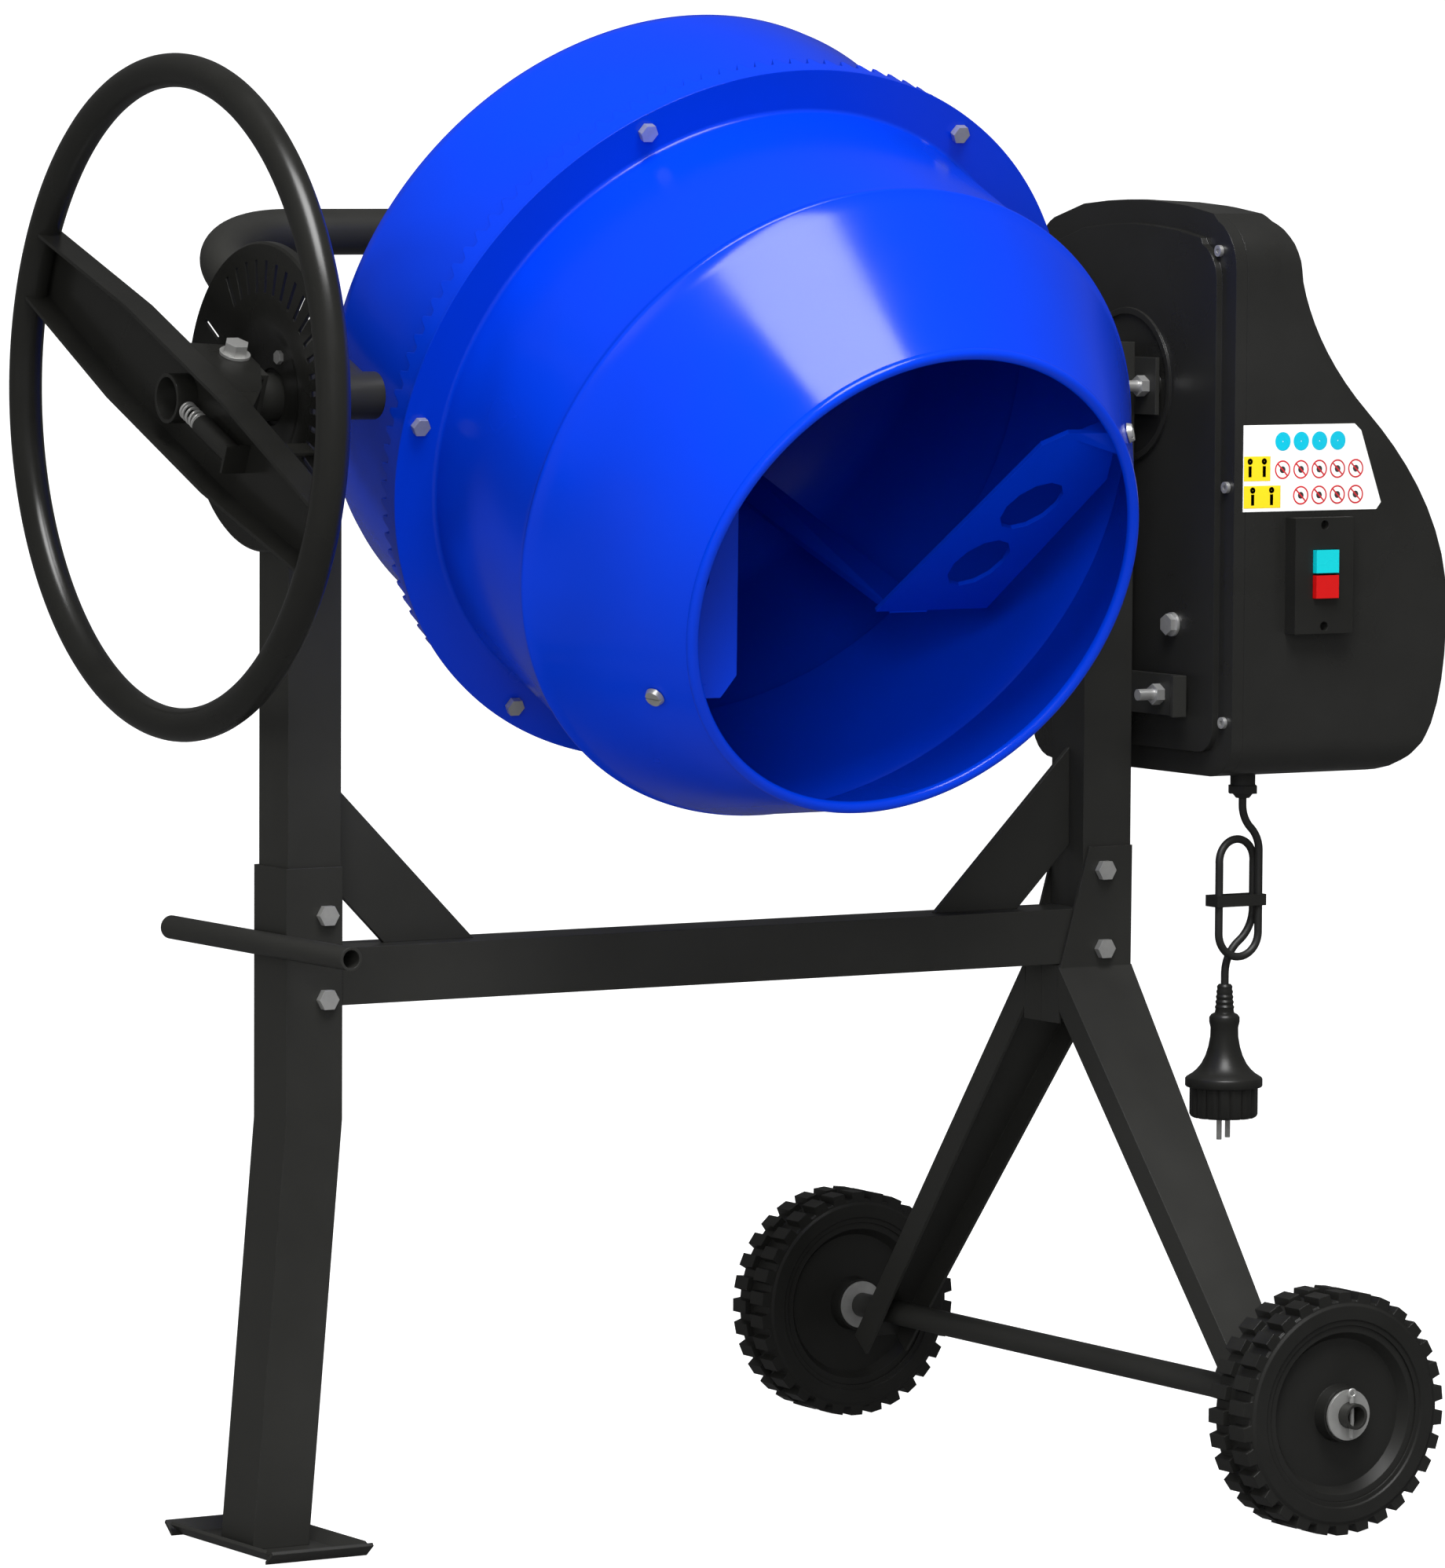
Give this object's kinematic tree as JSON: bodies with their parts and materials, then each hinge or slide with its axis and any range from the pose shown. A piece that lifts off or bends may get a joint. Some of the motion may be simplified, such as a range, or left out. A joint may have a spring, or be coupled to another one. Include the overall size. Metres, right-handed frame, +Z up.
{
  "type": "concrete mixer",
  "caption": "Tilting-drum concrete mixer: blue steel drum in a tube yoke on a black two-wheeled stand, tilted by a handwheel, driven by a belt and gear in a side housing",
  "frame": {"origin": "on the ground, under the middle of the machine's outer box", "axes": "+X from the handwheel towards the motor housing, along the tilt axis; +Y from the drum's mouth towards the yoke's cross tube; +Z up"},
  "size_m": [1.195, 0.848, 1.2763],
  "materials": {
    "frame_paint": "semi-gloss",
    "handwheel_paint": "gloss",
    "drum_blue": "gloss",
    "zinc": "satin",
    "bare_steel": "satin",
    "bronze": "satin",
    "cast_pulley": "rough",
    "motor_paint": "satin",
    "housing_plastic": "fine grain",
    "black_plastic": "satin",
    "tyre_rubber": "matte",
    "black_rubber": "matte",
    "label_film": "gloss",
    "turquoise_plastic": "gloss",
    "red_plastic": "gloss"
  },
  "bodies": {
    "stand": {"left_post": "frame_paint", "right_post": "frame_paint", "bottom_beam": "frame_paint", "frame_braces": "frame_paint", "support_leg": "frame_paint", "foot_tray": "frame_paint", "transport_handle": "frame_paint", "wheel_legs": "frame_paint", "frame_bolts": "zinc", "frame_nuts": "zinc", "axle_tube": "frame_paint", "axle_washers": "zinc", "cotter_pins": "zinc", "lock_disc": "handwheel_paint", "disc_bolts": "zinc", "tilt_bushes": "black_plastic", "inner_cover": "housing_plastic", "outer_cover": "housing_plastic", "cover_screws": "zinc", "housing_brackets": "frame_paint", "housing_bolts": "zinc", "housing_nuts": "zinc", "motor_bolts": "zinc", "motor_body": "motor_paint", "drive_belt": "black_rubber", "switch_box": "black_plastic", "warning_label": "label_film", "cable_gland": "black_plastic", "mains_lead": "black_rubber", "lead_hank": "black_rubber", "lead_tie": "black_plastic", "plug_body": "black_plastic", "plug_pins": "zinc"},
    "yoke": {"yoke": "frame_paint", "hinge_bracket": "frame_paint", "hinge_bolt": "zinc", "drum_spindle": "bare_steel", "shaft_bushes": "bronze"},
    "handwheel": {"handwheel_rim": "handwheel_paint", "handwheel_spoke": "handwheel_paint", "handwheel_hub": "handwheel_paint", "return_spring": "zinc", "spring_sleeve": "black_plastic"},
    "drum": {"drum_rear": "drum_blue", "drum_front": "drum_blue", "ring_gear": "drum_blue", "drum_bolts": "zinc", "mixing_blades": "drum_blue", "blade_screws": "zinc", "drum_hub": "frame_paint"},
    "drive_shaft": {"pinion_shaft": "bare_steel", "pinion": "bare_steel", "large_pulley": "cast_pulley"},
    "motor_rotor": {"motor_pulley": "bare_steel"},
    "front_wheel": {"front_tyre": "tyre_rubber", "front_wheel_disc": "black_plastic"},
    "rear_wheel": {"rear_tyre": "tyre_rubber", "rear_wheel_disc": "black_plastic"},
    "start_button": {"start_button": "turquoise_plastic"},
    "stop_button": {"stop_button": "red_plastic"}
  },
  "joints": [
    {"name": "drum_tilt", "type": "hinge", "parent": "stand", "child": "yoke", "pos_m": [0, 0, 0.957], "axis": [1, 0, 0], "range_deg": [-117, 54]},
    {"name": "lock_release", "type": "hinge", "parent": "yoke", "child": "handwheel", "pos_m": [-0.536, 0, 0.957], "axis": [0, -0.4026, 0.9154], "range_deg": [-3, 4], "stiffness_Nm_per_rad": 40, "springref_deg": 4.01},
    {"name": "drum_spin", "type": "hinge", "parent": "yoke", "child": "drum", "pos_m": [-0.076, 0, 0.957], "axis": [0, -0.9154, -0.4026], "continuous": true},
    {"name": "pinion_spin", "type": "hinge", "parent": "yoke", "child": "drive_shaft", "pos_m": [0, 0, 0.957], "axis": [1, 0, 0], "continuous": true},
    {"name": "motor_spin", "type": "hinge", "parent": "stand", "child": "motor_rotor", "pos_m": [0.45, 0, 0.75], "axis": [1, 0, 0], "continuous": true},
    {"name": "front_wheel_spin", "type": "hinge", "parent": "stand", "child": "front_wheel", "pos_m": [0.3145, -0.38, 0.1033], "axis": [0, 1, 0], "continuous": true},
    {"name": "rear_wheel_spin", "type": "hinge", "parent": "stand", "child": "rear_wheel", "pos_m": [0.3145, 0.38, 0.1033], "axis": [0, 1, 0], "continuous": true},
    {"name": "start_press", "type": "slide", "parent": "stand", "child": "start_button", "axis": [0, 1, 0], "range_m": [0, 0.003], "stiffness_N_per_m": 300, "springref_m": -0.002},
    {"name": "stop_press", "type": "slide", "parent": "stand", "child": "stop_button", "axis": [0, 1, 0], "range_m": [0, 0.003], "stiffness_N_per_m": 300, "springref_m": -0.002}
  ],
  "couplings": [
    {"joint": "pinion_spin", "follows": "drum_spin", "ratio": -9.8333},
    {"joint": "motor_spin", "follows": "drum_spin", "ratio": -94.236}
  ]
}
